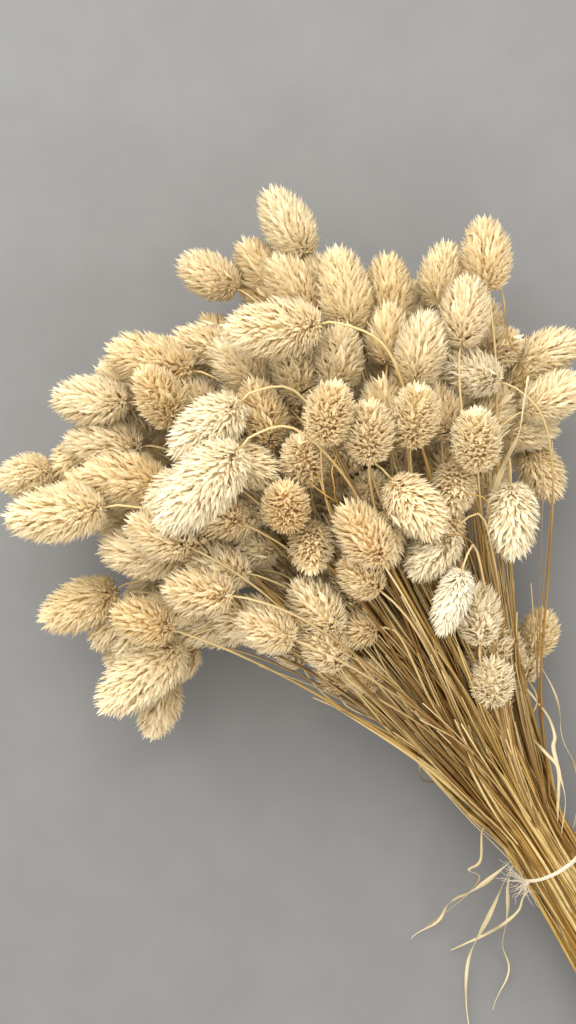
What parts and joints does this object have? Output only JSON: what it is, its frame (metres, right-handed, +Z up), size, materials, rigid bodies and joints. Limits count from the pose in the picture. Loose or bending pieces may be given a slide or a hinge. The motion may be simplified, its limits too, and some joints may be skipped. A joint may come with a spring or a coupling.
{
  "type": "bleached phalaris grass",
  "caption": "Tied bunch of bleached phalaris grass lying on its side: thin straw stems that end in ovate, bristly seed heads, a pale band round them and loose dry leaves.",
  "frame": {"origin": "on the resting surface, under the middle of the bunch's outline as seen from above", "axes": "+Y runs along the bunch from the cut ends to the heads, +X to the right as seen from above, +Z up"},
  "size_m": [0.3724, 0.604, 0.1795],
  "materials": {
    "bleached_straw": "matt bleached straw, cream white to pale tan",
    "pale_cord": "matt off-white fibre band with frayed ends",
    "dry_leaf": "matt dry leaf, pale straw"
  },
  "bodies": {
    "root": {"spray_01": "bleached_straw", "spray_02": "bleached_straw", "spray_03": "bleached_straw", "spray_04": "bleached_straw", "spray_05": "bleached_straw", "spray_06": "bleached_straw", "spray_07": "bleached_straw", "spray_08": "bleached_straw", "spray_09": "bleached_straw", "spray_10": "bleached_straw", "spray_11": "bleached_straw", "spray_12": "bleached_straw", "spray_13": "bleached_straw", "spray_14": "bleached_straw", "spray_15": "bleached_straw", "spray_16": "bleached_straw", "spray_17": "bleached_straw", "spray_18": "bleached_straw", "spray_19": "bleached_straw", "spray_20": "bleached_straw", "spray_21": "bleached_straw", "spray_22": "bleached_straw", "spray_23": "bleached_straw", "spray_24": "bleached_straw", "spray_25": "bleached_straw", "spray_26": "bleached_straw", "spray_27": "bleached_straw", "spray_28": "bleached_straw", "spray_29": "bleached_straw", "spray_30": "bleached_straw", "spray_31": "bleached_straw", "spray_32": "bleached_straw", "spray_33": "bleached_straw", "spray_34": "bleached_straw", "spray_35": "bleached_straw", "spray_36": "bleached_straw", "spray_37": "bleached_straw", "spray_38": "bleached_straw", "spray_39": "bleached_straw", "spray_40": "bleached_straw", "spray_41": "bleached_straw", "spray_42": "bleached_straw", "spray_43": "bleached_straw", "spray_44": "bleached_straw", "spray_45": "bleached_straw", "spray_46": "bleached_straw", "spray_47": "bleached_straw", "spray_48": "bleached_straw", "spray_49": "bleached_straw", "spray_50": "bleached_straw", "spray_51": "bleached_straw", "spray_52": "bleached_straw", "spray_53": "bleached_straw", "tie": "pale_cord", "leaf_long": "dry_leaf", "leaf_left": "dry_leaf", "leaf_back": "dry_leaf", "leaf_right": "dry_leaf"}
  },
  "joints": []
}
